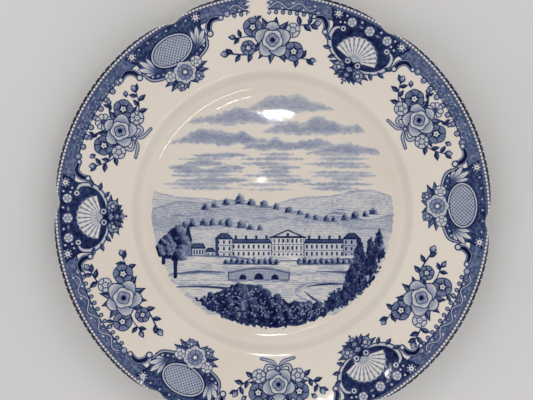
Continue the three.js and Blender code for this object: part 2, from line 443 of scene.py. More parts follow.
def storeys(pen, x0, x1, y0, y1, count, rows, tone):
    """A plain wall with evenly spaced sash windows and level courses."""
    box(pen, x0, x1, y0, y1, tone, 0.75)
    rise = (y1 - y0) / rows
    for row in range(rows):
        y = y0 + rise * (row + 0.52)
        windows(pen, x0 + 1.7, x1 - 1.7, count, y, 0.95, rise * 0.5, 0.98)
        pen.stroke([(x0, y0 + rise * (row + 1)), (x1, y0 + rise * (row + 1))], 0.4, 0.6)


def house(pen):
    """A plain symmetrical manor with a pedimented middle and two hipped pavilions, and a village church far left."""
    base, middle = -27.0, 9
    for side in (-1, 1):
        x0, x1 = sorted((middle + side * 9.5, middle + side * 33.5))
        storeys(pen, x0, x1, base, base + 8.6, 8, 2, 0.10 if side < 0 else 0.16)
        roof(pen, x0, x1, base + 8.6, base + 11, 0, 1, ruled(0, 0.8, 0.6, 0.85), 0.95)
        for k in range(4):
            x = x0 + (x1 - x0) * (k + 0.5) / 4
            box(pen, x - 0.6, x + 0.6, base + 10.4, base + 13, 0.8, 0.95)
        x0, x1 = middle + side * 37.5 - 5, middle + side * 37.5 + 5
        storeys(pen, x0, x1, base - 0.6, base + 11, 3, 3, 0.14 if side < 0 else 0.3)
        roof(pen, x0, x1, base + 11, base + 14.4, 0.6, 3, ruled(0, 0.8, 0.66, 0.9), 0.97)
        shade = x1 - 1.6 if side > 0 else x0
        box(pen, shade, shade + 1.6, base - 0.6, base + 11, 0.8)
    storeys(pen, -0.5, 18.5, base - 0.8, base + 12, 7, 3, 0.07)
    for x in np.linspace(1.2, 16.8, 8):
        pen.stroke([(x, base + 3.6), (x, base + 11.8)], 0.45, 0.45, False)
    pen.shape([(-1.4, base + 12), (19.4, base + 12), (middle, base + 16.6)], 0.14, 0.95, 0.7)
    pen.disc(middle, base + 13.6, 0.9, 0.85)
    pen.stroke([(-1.4, base + 12), (19.4, base + 12)], 0.9, 0.92)
    for step, reach in enumerate((3.2, 4.6, 6.0)):
        y = base - 1.2 - 0.8 * step
        pen.stroke([(middle - reach, y), (middle + reach, y)], 0.6, 0.6)
    # a church and two cottages
    box(pen, -51.5, -47.5, base + 1, base + 10, ruled(90, 0.9, 0.4, 0.75), 0.95)
    pen.shape([(-51.9, base + 10), (-47.1, base + 10), (-49.5, base + 20)], 0.88, 0.97)
    box(pen, -47.5, -39.5, base + 1, base + 5.6, 0.16, 0.9)
    pen.shape([(-47.8, base + 5.6), (-39.2, base + 5.6), (-40.6, base + 8.4), (-46.8, base + 8.4)], 0.74, 0.95)
    windows(pen, -46, -41, 4, base + 3.2, 0.8, 2.2, 0.95, True)
    for x in (-57.5, -36.5):
        box(pen, x - 2.4, x + 2.4, base + 0.6, base + 3.6, 0.16, 0.85)
        roof(pen, x - 2.4, x + 2.4, base + 3.6, base + 5.8, 0.6, 0.8, 0.78, 0.95)
        windows(pen, x - 1.2, x + 1.2, 2, base + 2, 0.7, 1.2)


def water(x, y, d):
    """Still water: level lines that break up towards the bank."""
    return np.clip(0.10 + 0.22 * (np.cos(math.tau * (y + 0.5 * mottle(x, y, 5, 8)) / 1.25) > 0.35)
                   * (mottle(x * 0.35, y * 1.8, 1.5, 9) > 0.36) + 0.28 * np.clip(1 - d / 1.3, 0, 1), 0, 1)


def park(pen):
    """Lawns, a winding lake and its three-arched bridge."""
    def lawn(x, y, d):
        run = y + 0.10 * x + 1.4 * mottle(x, y, 8, 82)
        return np.clip(0.16 + 0.24 * (mottle(x * 0.45, y * 2.0, 1.4, 81) - 0.5)
                       + 0.08 * np.cos(math.tau * run / 1.3) + 0.16 * (mottle(x * 0.6, y * 1.5, 7, 83) - 0.4), 0, 1)

    ridge(pen, lambda x: -25.6 + 0 * x, -60, lawn)
    pen.stroke([(-66, -25.8), (-30, -26.2), (0, -28.8), (40, -28), (62, -26.6)], (0.4, 1.0, 0.6, 1.0, 0.4), 0.66)
    # terrace hedge in front of the house
    for k, x in enumerate(np.arange(-27, 47, 3.3)):
        if abs(x - 9) > 6:
            clump(pen, x, -30.2, 3.0, 2.6 + (k % 3) * 0.5, 0.2, 0.92, 200 + k)
    pen.stroke([(-29, -30.6), (3, -30.8)], 0.7, 0.85)
    pen.stroke([(15, -30.8), (47, -30.6)], 0.7, 0.85)
    shore = [(-64, -37.6), (-48, -36), (-30, -36.4), (-12, -38.6), (6, -37), (24, -35.8), (44, -36.4), (58, -38),
             (50, -41.6), (32, -41.8), (18, -43.4), (14, -47.6), (22, -52.4), (30, -57), (14, -59), (0, -55),
             (-6, -49), (-16, -45), (-34, -43), (-54, -43)]
    ragged(pen, shore, water, 0.5, 2.0, 61, 0.6)
    for points, tone in (([(-60, -44.2), (-40, -44), (-20, -46), (-9, -50)], 0.85),
                         ([(20, -44), (30, -42.6), (48, -42.4)], 0.8),
                         ([(-60, -36.8), (-44, -35.2), (-28, -35.6)], 0.7),
                         ([(26, -35), (44, -35.6), (56, -37)], 0.7),
                         ([(19, -47), (24, -51), (32, -55)], 0.75)):
        pen.stroke(points, (0.4, 1.4, 0.5), tone)
    # bridge
    deck = [(-26, -35.6), (-15, -33.4), (-8, -32.8), (-1, -33.4), (10, -35.6)]
    pen.shape(deck + [(10, -40.4), (-26, -40.4)], ruled(0, 1.0, 0.22, 0.5), 0.9, 0.5)
    for x, r in ((-17.4, 2.9), (-8, 3.5), (1.4, 2.9)):
        pen.shape([(x - r, -40.6)] + list(arc(x, -39.4, r, 180, 0, 1.15)) + [(x + r, -40.6)], 0.93, 0.3, 0.7)
    pen.stroke(deck, 1.0, 0.9)
    pen.stroke([(x, y + 0.1) for x, y in deck], 0.35, 0.1)
    for x, y in ((-24, -40.9), (-12, -41.2), (0, -41)):
        pen.stroke([(x, y), (x + 9, y)], (0.3, 0.9, 0.3), 0.7)


def oak(pen, x, y, height, spread, seed, boughs):
    """A broad tree: a forked trunk and a crown of overlapping leafy boughs."""
    rng = np.random.default_rng(seed)
    for dx, w in ((-0.16, 1.5), (0.02, 2.2), (0.18, 1.3)):
        pen.stroke([(x, y), (x + dx * spread * 0.3, y + height * 0.3), (x + dx * spread, y + height * 0.55)],
                   (w, w * 0.5), 0.95)
    for k in range(boughs):
        t = (k + 0.5) / boughs
        a = 2.4 * k
        bx = x + 0.36 * spread * math.sqrt(t) * math.cos(a)
        by = y + height * 0.62 + 0.27 * height * math.sqrt(t) * math.sin(a)
        size = spread * rng.uniform(0.28, 0.4)
        clump(pen, bx, by - size * 0.45, size * 1.3, size, 0.36, 1.0, seed + 7 * k)


def poplar(pen, x, y, h, w, seed):
    """A tall narrow tree on a short trunk."""
    crown = [(x - w / 2, y), (x - w * 0.46, y + h * 0.45), (x - w * 0.2, y + h * 0.82), (x, y + h),
             (x + w * 0.24, y + h * 0.8), (x + w * 0.48, y + h * 0.4), (x + w / 2, y)]
    ragged(pen, crown, foliage(0.42, 1.0, 1.0, seed, 2.0), 0.9, 1.1, seed, 0.5)
    pen.stroke([(x, y - 2.5), (x, y + 2)], 1.3, 0.97)


def shrub_line(x):
    """Height of the shrubs' upper edge."""
    return -45.6 - 3.2 * np.sin(x / 8.0 + 0.5) - 0.0045 * (x + 22) ** 2


def foreground(pen):
    """Dark framing trees at both sides and a bank of shrubs along the foot."""
    oak(pen, -57, -38, 31, 17, 401, 13)
    oak(pen, -64, -30, 15, 10, 402, 8)
    for k, tree in enumerate(((51, -41, 26, 8.5), (57.5, -36, 21, 7.5), (62.5, -27, 17, 6.5), (46, -45, 15, 7.5))):
        poplar(pen, *tree, 411 + k)
    slope = [(40, -45), (50, -43), (59, -38), (64, -31), (62, -36), (56, -44), (48, -51), (38, -57), (30, -58),
             (32, -51)]
    ragged(pen, slope, foliage(0.52, 1.0, 1.0, 417, 1.9), 1.3, 1.1, 417, 0.7)
    where = np.nonzero(pen.y < -38)[0]
    x, y = pen.x[where], pen.y[where]
    edge = 68.2 + 2.4 * (mottle(x, y, 1.3, 421) - 0.5) - np.hypot(x, y)
    depth = np.minimum(shrub_line(x) + 2.6 * (mottle(x, y, 1.6, 422) - 0.5) - y, edge)
    side = np.minimum(x + 54 + 2 * mottle(x, y, 2, 423), 33 - x - 0.4 * (y + 60))
    pen.lay(where, np.minimum(depth, side), foliage(0.62, 1.0, 1.1, 424, 1.9)(x, y, depth))
    rng = np.random.default_rng(31)
    bushes = []
    for k in range(64):
        x = rng.uniform(-50, 28)
        top = float(shrub_line(np.array(x)))
        y = rng.uniform(-65, top - 1)
        if x * x + y * y < 64.5**2:
            bushes.append((y, x, rng.uniform(4.2, 7.6), k))
    for y, x, size, k in sorted(bushes, reverse=True):
        clump(pen, x, y - size * 0.3, size, size * rng.uniform(0.75, 1.05), 0.56, 1.0, 430 + k)
    for k in range(700):
        x, y = rng.uniform(-52, 30), rng.uniform(-67, -44)
        if y > float(shrub_line(np.array(x))) - 0.5 or x * x + y * y > 66.5**2:
            continue
        a, n = rng.uniform(0, math.pi), rng.uniform(0.6, 1.4)
        tone = 1.0 if rng.random() < 0.55 else 0.3
        pen.stroke([(x, y), (x + n * math.cos(a), y + n * math.sin(a))], (0.65, 0.25), tone, False)


def draw_landscape(x, y, seed):
    """Ink in the well at the given places."""
    ink = np.zeros(x.shape)
    pen = Pen(x, y, ink)
    sky(pen)
    hills(pen)
    house(pen)
    park(pen)
    foreground(pen)
    grain = np.random.default_rng(seed).random(x.shape)
    tooth = 4 * ink * (1 - ink)
    return np.clip(ink + 0.26 * tooth * (grain - 0.5), 0, 1)


def on_ring(turn, radius):
    """A place on the rim, in degrees to the right of a motif's middle."""
    c, s = unit(turn)
    return radius * s, radius * c


def leaf_ring(pen, x, y, leaves, width, tone):
    """Leaves that grow out from one place, each given as (angle, length)."""
    for turn, length in leaves:
        leaf(pen, x, y, turn, length, width, tone)


def mirrored(points):
    """A closed outline from its right half, given from top to bottom."""
    return [(x, y) for x, y in points] + [(-x, y) for x, y in points[::-1] if x > 0]


def rosette(pen, x, y, r):
    """A small white flower in a dark ring of dots."""
    pen.disc(x, y, r * 1.45, 0.92)
    for a in range(0, 360, 45):
        dx, dy = unit(a)
        pen.disc(x + 1.12 * r * dx, y + 1.12 * r * dy, r * 0.2, 0.12)
    pen.shape(frill(x, y, r * 0.72, 5, 90, 0.18), 0.04)
    pen.disc(x, y, r * 0.22, 0.8)


def plume(pen, x, y, angle, length, width, tone=0.08):
    """A pale frond with an engraved spine and shaded root."""
    outline = spline(petal_outline(x, y, angle, length, width, 0.6, 0.7), True, 2)
    pen.shape(outline, fan(x, y, 0.55, tone, length * 0.6), 0.9, 0.4)
    c, s = unit(angle)
    pen.stroke([(x, y), (x + 0.75 * length * c, y + 0.75 * length * s)], (0.45, 0.15), 0.7)


def shoulder(pen, side, x, y, reach, rise, curl=2.0):
    """A C-scroll that springs from a cartouche's shoulder and rolls up under the border."""
    path = [(side * x, y), (side * (x + 0.12 * reach), y + 0.62 * rise), (side * (x + 0.5 * reach), y + rise),
            (side * (x + reach), y + 0.72 * rise)]
    for grow, tone in ((1.5, 0.92), (0.7, 0.22), (0.0, 0.97)):
        pen.stroke(path, np.array((1.8, 2.4, 2.2, 1.4)) + grow, tone)
    pen.disc(side * x, y, curl, 0.12, 0.94, 0.7)
    pen.disc(side * (x + reach), y + 0.72 * rise, curl * 0.85, 0.4, 0.94, 0.5)
    pen.disc(side * (x + reach), y + 0.72 * rise, curl * 0.35, 0.06)


def lattice_cartouche(pen):
    """A trellis in an oval frame, with fronds at the sides and a ruffled bloom below. Both halves are alike."""
    def clouded(x, y, d):
        return 0.72 + 0.22 * mottle(x, y, 1.2, 17) + 0.06 * np.cos(math.tau * y / 0.9)

    ground = mirrored([(0, 123), (25, 123), (24, 117), (21.4, 112), (22, 107), (18.6, 101.6), (12, 98.6), (6, 97.8),
                       (0, 95)])
    pen.blob(ground, clouded, 0.98, 0.7)
    for turn in np.arange(-9, 9.1, 1.5):
        x, y = on_ring(turn, 117.9 + 0.5 * math.cos(math.radians(turn * 120)))
        for lean in (60, -60):
            leaf(pen, x, y, 90 - turn + lean, 2.6, 1.2, 0.2, 0.9)
    for side in (-1, 1):
        for turn, length, width in ((14, 8.5, 2.6), (37, 11.5, 3.2), (60, 12.5, 3.2), (80, 10.5, 2.6)):
            plume(pen, side * 13.4, 103.6, turn if side > 0 else 180 - turn, length, width)
        for k in range(4):
            x, y = 20.4 - 3.0 * k, 103.6 - 1.0 * k
            pen.disc(side * x, y, 0.95 - 0.08 * k, 0.04, 0.97, 0.3)
        roll = [(side * 21.4, 107), (side * 18.6, 101.2), (side * 12, 98.4), (side * 6.5, 97.8)]
        pen.stroke(roll, (1.6, 2.2, 1.8, 1.0), 0.98)
        pen.stroke(roll, (0.6, 1.0, 0.8, 0.3), 0.3)
        shoulder(pen, side, 24.0, 106.2, 10, 6.2)
        rosette(pen, side * 21.6, 118.4, 2.0)

    def trellis(x, y, d):
        """Thin pale crossing lines with a fleck in every opening."""
        u, v = (x + y) / 2.1, (x - y) / 2.1
        lines = np.maximum(np.cos(math.tau * u), np.cos(math.tau * v))
        fleck = np.cos(math.tau * u) + np.cos(math.tau * v)
        return np.clip(0.52 - 0.34 * np.clip(lines - 0.45, 0, 1) / 0.55 + 0.3 * (fleck < -1.5), 0, 1)

    for size, squash, tone, edge in ((13.6, 0.66, 0.97, None), (12.9, 0.64, 0.12, None), (12.1, 0.62, trellis, 0.92)):
        pen.shape(arc(0, 109.6, size, 0, 352, squash, 40), tone, edge)
    for turn in (-7.5, -4.5, -1.5, 1.5, 4.5, 7.5):
        pen.disc(*on_ring(turn, 120.8), 0.8, 0.06, 0.96, 0.3)
    leaf_ring(pen, 0, 95.6, ((186, 14.5), (204, 14), (226, 12), (250, 10), (290, 10), (314, 12), (336, 14),
                             (354, 14.5)), 4.8, 0.68)
    for side in (-1, 1):
        flower(pen, side * 8.6, 97.4, 3.5, 5, 90 + 20 * side, 0.28, 0.02, width=4.1, blunt=0.5, rays=0,
               heart_size=0.32)
        flower(pen, side * 5.6, 89.6, 3.0, 5, 90 - 20 * side, 0.62, 0.36, width=3.4, rays=16, heart_size=0.32)
    ruffled(pen, 0, 95.4, 6.4, 7, 90, 0.42, 0.06, 0.04)
    for k in range(7):
        c, s = unit(90 + k * 360 / 7)
        pen.stroke([(reach * c, 95.4 + reach * s) for reach in (2.2, 5.6)], 0.35, 0.75)


def shell_cartouche(pen):
    """An upright scallop shell between two scrolls on a dark ground, with a drop of bellflowers under it."""
    ground = mirrored([(0, 123), (25, 123), (24, 117), (20.5, 111.5), (20.4, 105), (16.6, 99.4), (10, 95.8), (4, 94),
                       (0, 92)])
    pen.blob(ground, lambda x, y, d: 0.80 + 0.18 * mottle(x, y, 1.3, 19), 0.98, 0.6)
    hinge = 98.6
    rib_pitch = 13.4
    half_spread = 80.4

    def ribs(x, y, d):
        out = np.degrees(np.arctan2(x, y - hinge))
        run = np.hypot(x, y - hinge) / 14.5
        rib = 0.5 + 0.5 * np.cos(math.tau * out / rib_pitch)
        growth = 0.10 * np.cos(math.tau * run * 4.5)
        shaded = 0.04 + 0.58 * rib**3 * np.clip(1.3 - 0.5 * run, 0, 1)
        return np.clip(shaded + growth * rib + 0.35 * np.clip(0.4 - run, 0, 1), 0, 0.8)

    edge = [(0, hinge - 1.0)]
    for out in np.linspace(-half_spread, half_spread, 61):
        reach = 14.2 + 1.1 * abs(math.cos(math.pi * out / rib_pitch)) - 1.6 * (out / half_spread) ** 2
        x, y = on_ring(out, reach)
        edge.append((x, hinge + y))
    pen.shape(edge, ribs, 0.97, 0.5)
    for side in (-1, 1):
        volute = [(side * 3.4, 95.6), (side * 9.6, 96.4), (side * 15.6, 99.8), (side * 18.8, 105), (side * 18.6, 110.2),
                  (side * 15.6, 112.6)]
        for widths, tone in (((1.4, 2.6, 3.2, 3.0, 2.2), 0.97), ((0.5, 1.5, 2.0, 1.9, 1.1), 0.30),
                             ((0.2, 0.5, 0.7, 0.6, 0.3), 0.08)):
            pen.stroke(volute, widths, tone)
        pen.disc(side * 14.2, 112.4, 2.1, 0.08, 0.97, 0.6)
        pen.disc(side * 14.2, 112.4, 0.7, 0.9)
        for turn, x, y, length in ((12, 17.4, 103.4, 5.4), (-16, 15.2, 99.6, 5.0), (-44, 11.2, 97, 4.6)):
            leaf(pen, side * x, y, turn if side > 0 else 180 - turn, length, 2.5, 0.66)
        pen.disc(side * 3.2, 97.6, 2.2, 0.14, 0.96, 0.6)
        pen.disc(side * 3.2, 97.6, 0.8, 0.85)
        shoulder(pen, side, 22.6, 105.8, 9.6, 6.4, 1.8)
        rosette(pen, side * 20.6, 118.6, 2.0)
        flower(pen, side * 11.4, 117.8, 2.8, 5, 90, 0.3, 0.02, 0.92, 3.4, 0.5, 0, 0.04, 0.3, 0.3)
        leaf(pen, side * 7.4, 117.6, 180 if side > 0 else 0, 4.6, 2.1, 0.35, 0.95)
        for x, y in ((15.6, 119.8), (15.0, 115.9), (6.2, 120.4), (17.4, 114.9)):
            pen.disc(side * x, y, 0.6, 0.06)
    flower(pen, 0, 118, 3.0, 6, 90, 0.3, 0.02, 0.92, 3.2, 0.5, 0, 0.04, 0.3, 0.3)
    leaf_ring(pen, 0, 94.4, ((186, 13), (206, 12), (228, 10), (252, 8), (288, 8), (312, 10), (334, 12), (354, 13)),
              4.0, 0.68)
    for side in (-1, 1):
        flower(pen, side * 6.0, 92.2, 3.6, 5, 90 + 20 * side, 0.6, 0.3, width=4.0, rays=16, heart_size=0.32)
    for y, r in ((93.4, 2.8), (89.9, 2.3), (87.1, 1.7)):
        bell = [(-r, y - 1.2), (-0.6 * r, y + 1.5), (0, y + 2.2), (0.6 * r, y + 1.5), (r, y - 1.2),
                (0.5 * r, y - 0.6), (0, y - 1.8), (-0.5 * r, y - 0.6)]
        pen.shape(bell, fan(0, y + 2, 0.75, 0.2, 3.4), 0.96, 0.4)
    pen.disc(0, 84.9, 0.7, 0.85)
    for side in (-1, 1):
        leaf(pen, side * 1.6, 92.6, 270 + side * 52, 6.6, 2.6, 0.66)
        leaf(pen, side * 1.2, 89.8, 270 + side * 40, 4.4, 1.9, 0.66)


def scalloped_edge(pen, turns, radius, size, tone):
    """A row of small eyed discs that hem the blue ground."""
    for turn in turns:
        x, y = on_ring(turn, radius)
        pen.disc(x, y, size, tone, 0.95, 0.5)
        pen.disc(x, y, size * 0.5, 0.16)
        pen.disc(x, y, size * 0.22, 0.9)


def arch_run(pen):
    """The border over the bouquet: eyed discs under pairs of white leaves."""
    turns = np.arange(-9, 9.1, 3)
    scalloped_edge(pen, turns, 115.4, 1.75, 0.6)
    for turn in turns:
        for side in (-1, 1):
            x, y = on_ring(turn + side * 0.2, 118.3)
            plume(pen, x, y, 90 - turn - side * 42, 3.5, 1.5, 0.06)
        pen.disc(*on_ring(turn, 118.2), 0.62, 0.1, 0.95, 0.25)
        pen.disc(*on_ring(turn + 1.5, 121.7), 0.42, 0.1)
        pen.disc(*on_ring(turn + 1.5, 117.2), 0.42, 0.1)
    for side in (-1, 1):
        x, y = on_ring(side * 12, 116.4)
        pen.disc(x, y, 2.2, 0.5, 0.95, 0.5)
        pen.disc(x, y, 1.0, 0.1, 0.9, 0.3)


def swag_run(pen):
    """The border over the rose spray: a waving white vine with a leaf in every bend."""
    scalloped_edge(pen, np.arange(-11, 11.1, 2), 115.2, 1.25, 0.7)
    wave = [on_ring(t, 119.2 + 1.7 * math.sin(math.radians(t * 60))) for t in np.arange(-12, 12.1, 0.75)]
    pen.stroke(wave, 1.2, 0.93)
    pen.stroke(wave, 0.5, 0.1)
    for k, t in enumerate(np.arange(-10.5, 10.6, 3)):
        up = 1 if k % 2 else -1
        x, y = on_ring(t, 119.2 - up * 0.4)
        leaf(pen, x, y, 90 - t, 2.6 * up, 1.7, 0.16, 0.95)
        pen.disc(*on_ring(t + 1.2, 119.2 + up * 1.6), 0.55, 0.08)
    for side in (-1, 1):
        pen.disc(*on_ring(side * 13, 117), 1.9, 0.3, 0.95, 0.5)


def bud(pen, x, y, angle, size):
    """A rosebud: a pale pointed heart in two dark sepals."""
    for turn in (-34, 34):
        leaf(pen, x, y, angle + turn, size * 1.25, size * 0.62, 0.8)
    pen.shape(spline(petal_outline(x, y, angle, size * 1.7, size * 1.25, 0.45, 0.75), True, 2),
              fan(x, y, 0.72, 0.12, size * 1.6, 11, 0.14), 0.95, 0.42)
    pen.disc(x, y, size * 0.3, 0.92)


def rose(pen, x, y, radius):
    """A full rose: five outer petals, scalloped inner rings, and a dark heart."""
    for a in range(90, 450, 72):
        c, s = unit(a)
        petal = frill(x + 0.56 * radius * c, y + 0.56 * radius * s, radius * 0.55, 3, a, 0.07)
        pen.shape(petal, fan(x, y, 0.85, 0.14, radius * 1.05, 40, 0.12), 0.95, 0.5)
    pen.shape(frill(x, y, radius * 0.62, 5, 126, 0.09), fan(x, y, 0.72, 0.04, radius * 0.6, 25, 0.12), 0.94, 0.42)
    pen.shape(frill(x, y, radius * 0.38, 4, 90, 0.1), fan(x, y, 0.9, 0.2, radius * 0.36), 0.94, 0.4)
    pen.disc(x, y, radius * 0.13, 0.97)


def rose_spray(pen):
    """A rose on a long curved stem with dog roses, buds and leaves."""
    sprig(pen, [(-22.5, 92.5), (-13, 92.2), (-4, 96.4), (6, 102), (14, 106.6), (21, 107)],
          ((0.06, 148, 0.9), (0.12, 236, 0.9), (0.2, 130, 1.0), (0.24, 250, 1.0), (0.8, 100, 1.0), (0.84, -40, 1.0),
           (0.92, 70, 0.9), (0.94, -30, 0.9)), 5.2, 2.6, 0.68, 0.8)
    sprig(pen, [(1, 99), (-5, 105), (-8.6, 111)], ((0.7, 168, 0.9), (0.85, 60, 0.9)), 4.6, 2.2, 0.66, 0.6)
    sprig(pen, [(2, 98), (9, 91.4), (18.4, 89.6)],
          ((0.5, 205, 0.8), (0.66, 262, 1.0), (0.8, 60, 1.0), (0.95, -40, 1.0)), 5, 2.5, 0.68, 0.6)
    sprig(pen, [(-4, 99), (-12, 101), (-18.6, 100.2)], ((0.8, 110, 0.9), (0.9, 230, 0.9), (1, 172, 0.9)), 4.8, 2.4,
          0.68, 0.6)
    leaf_ring(pen, 0.4, 99.6, ((20, 12.5), (50, 12), (82, 11.6), (118, 12.5), (165, 13), (205, 12.6), (232, 12.4),
                               (262, 12.4), (298, 13), (338, 12.6)), 4.6, 0.7)
    flower(pen, 10.8, 93.6, 5.2, 5, 54, 0.74, 0.46, width=5.8)
    flower(pen, -10.2, 105.8, 5.0, 5, 90, 0.72, 0.44, width=5.6)
    flower(pen, -12.4, 95.4, 4.0, 6, 10, 0.72, 0.44, width=4.0)
    flower(pen, 10.4, 104.2, 3.9, 5, 20, 0.34, 0.08, width=4.5, rays=16, heart_size=0.32)
    rose(pen, 0, 99.4, 8.4)
    for x, y, angle, size in ((21, 107.2, 12, 2.4), (-22.6, 92.4, 186, 2.5), (-8.8, 111.2, 104, 1.7),
                              (19, 89.4, -12, 2.0), (-19, 100.4, 168, 1.9)):
        bud(pen, x, y, angle, size)


def bouquet(pen):
    """A tied posy of roses, dog roses, a daisy and buds over a ribbon bow. Both halves are nearly alike."""
    for side in (-1, 1):
        def out(turn):
            return turn if side > 0 else 180 - turn

        sprig(pen, [(0, 97), (side * 9, 94.8), (side * 17, 97.6), (side * 22, 102)],
              ((0.5, out(-40), 1.0), (0.62, out(70), 0.9), (0.74, out(-20), 1.0), (0.86, out(110), 0.9),
               (0.98, out(20), 0.9)), 5, 2.5, 0.68, 0.7)
        sprig(pen, [(0, 101), (side * 4.6, 108), (side * 9.4, 111)],
              ((0.7, out(10), 0.8), (0.9, out(90), 0.8)), 4.4, 2.1, 0.68, 0.6)
        for turn, length in ((14, 14), (-10, 14), (-34, 12.6), (-62, 10.5), (40, 12), (62, 10)):
            leaf(pen, side * 2, 100.4, out(turn), length, 4.6, 0.7)
        flower(pen, side * 10.8, 103.6, 5.3, 5 if side > 0 else 6, 90, 0.74, 0.48, width=5.6)
        flower(pen, side * 10.2, 95.2, 3.9, 6 if side > 0 else 5, 30, 0.36, 0.08, width=4.2, rays=16, heart_size=0.32)
        for x, y, angle, size in ((22, 102.2, 56, 2.3), (17.4, 105.4, 34, 1.8), (9.4, 110.8, 40, 1.8)):
            bud(pen, side * x, y, out(angle), size)
        loop = [(0, 91.4), (side * 3.2, 93.6), (side * 6.4, 92.6), (side * 5.4, 89.8), (0, 91.4)]
        tail = [(0, 91.2), (side * 2.8, 88.0), (side * 8.6, 86.2)]
        for path, widths in ((loop, (1.2, 2.2, 2.4, 2.0, 1.2)), (tail, (1.0, 2.0, 1.6))):
            pen.stroke(path, widths, 0.95)
            pen.stroke(path, np.array(widths) - 0.85, 0.24)
    flower(pen, 0, 109.4, 4.6, 9, 90, 0.3, 0.06, width=3.0, rays=0, heart=None)
    pen.disc(0, 109.4, 1.4, 0.75, 0.95, 0.4)
    rose(pen, 0, 99.8, 8.0)
    pen.disc(0, 91.3, 1.2, 0.2, 0.96, 0.45)


def edge_band(pen, angle, radius):
    """White squares between dark rails along the edge, with a row of dark blocks outside them."""
    where = np.nonzero(radius > 122.5)[0]
    pen.ink[where] = 0
    out, turn = radius[where], angle[where]

    def off_middle(pitch):
        """Distance along the edge from the middle of a square or block, given its pitch in degrees."""
        return np.abs(((turn / pitch) % 1 - 0.5) * math.radians(pitch) * out)

    for rail, half, tone in ((122.75, 0.25, 0.85), (123.45, 0.30, 0.92), (125.25, 0.32, 0.96)):
        pen.lay(where, half - np.abs(out - rail), tone)
    pen.lay(where, np.minimum(off_middle(1.0) - 0.84, 1.1 - np.abs(out - 124.3)), 0.92)
    pen.lay(where, np.minimum(1.92 - off_middle(2.0), 0.75 - np.abs(out - 126.1)), 1.0)


MIDDLE = 99.5  # radius at the middle of the flower sprays
SPRAY_TURN = 90  # middle of a rose spray, in degrees
SHELL_TURN = 61.7
BOUQUET_TURN = 32


def draw_rim(radius, angle, seed):
    """Ink on the rim at the given places. The pattern repeats every third of a turn."""
    ink = np.zeros(radius.shape)
    grain = np.random.default_rng(seed).random(radius.shape)

    def at(turn, size=1.0):
        """A pen for the motif whose middle is at the turn."""
        away = np.radians((angle - turn + 60) % 120 - 60)
        return Pen(-radius * np.sin(away) / size, MIDDLE + (radius * np.cos(away) - MIDDLE) / size, ink)

    plain = Pen(radius, radius, ink)
    every = np.arange(radius.size)
    lower = 115.8 + 0.9 * np.cos(np.radians(6 * (angle - BOUQUET_TURN)))
    cloudy = mottle(radius, angle * 2.1, 1.3, 3)
    plain.lay(every, np.minimum(radius - lower, 123.3 - radius), 0.52 + 0.26 * cloudy)
    plain.lay(every, 0.35 - np.abs(radius - lower - 0.2), 0.92)
    swag_run(at(SPRAY_TURN))
    arch_run(at(BOUQUET_TURN))
    shell_cartouche(at(SHELL_TURN))
    lattice_cartouche(at(PRINT_TURN))
    rose_spray(at(SPRAY_TURN, 1.13))
    bouquet(at(BOUQUET_TURN, 1.1))
    edge_band(plain, angle, radius)
    tooth = 4 * ink * (1 - ink)
    return np.clip(ink + 0.22 * tooth * (grain - 0.5), 0, 1)


# ---------------------------------------------------------------------------------------------- the plate's form


def edge_radius(angle):
    """Radius of the edge: a circle with a rounded nick between each two lobes."""
    pitch = 360 / LOBES
    away = (angle - LOBE_TURN + pitch / 2) % pitch - pitch / 2
    nick = 1 / (1 + (away / NOTCH_HALF_WIDTH) ** 2)
    crown = 1 / (1 + (pitch / 2 / NOTCH_HALF_WIDTH) ** 2)
    return RIM_RADIUS - NOTCH_DEPTH * (nick - crown) / (1 - crown)


def lobe_stretch(angle):
    """How far the rim reaches at an angle, as a share of the round profile's rim."""
    return (edge_radius(angle) - VERGE_RADIUS) / (RIM_RADIUS - VERGE_RADIUS)


def cove_height(radius):
    """Height of the round profile: a floor that dishes up a little, a cove that steepens, and the straight rim."""
    run = VERGE_RADIUS - FLOOR_RADIUS
    t = np.clip((radius - FLOOR_RADIUS) / run, 0, 1)
    climb = t**COVE_SKEW
    bend = DISH_END - DISH_START
    start, fade = np.clip(radius - DISH_START, 0, bend), np.clip(radius - DISH_END, 0, DISH_FADE)
    dish = DISH_SLOPE * (start**2 / (2 * bend) + fade - fade**2 / (2 * DISH_FADE))
    cove_rise = VERGE_RISE - (bend + DISH_FADE) / 2 * DISH_SLOPE  # the rest of the rise, which the dish hasn't taken
    rise = cove_rise * climb**2 * (3 - 2 * climb) + RIM_SLOPE * run * t**4 * (t - 1)
    return FLOOR_HEIGHT + dish + rise + RIM_SLOPE * np.maximum(radius - VERGE_RADIUS, 0)


def face_height(radius):
    """Height of the glazed face on the round profile: floor, cove, rising rim and rounded lip."""
    over = np.clip((radius - (RIM_RADIUS - LIP_ROUNDING)) / LIP_ROUNDING, 0, 1)
    return cove_height(radius) - LIP_ROUNDING * (1 - np.sqrt(1 - over**2)) - LIP_DROP * over


def face_height_at(radius, angle):
    """Height of the glazed face at a place on the lobed plate."""
    beyond = np.maximum(radius - VERGE_RADIUS, 0)
    return face_height(np.minimum(radius, VERGE_RADIUS) + beyond / lobe_stretch(angle))


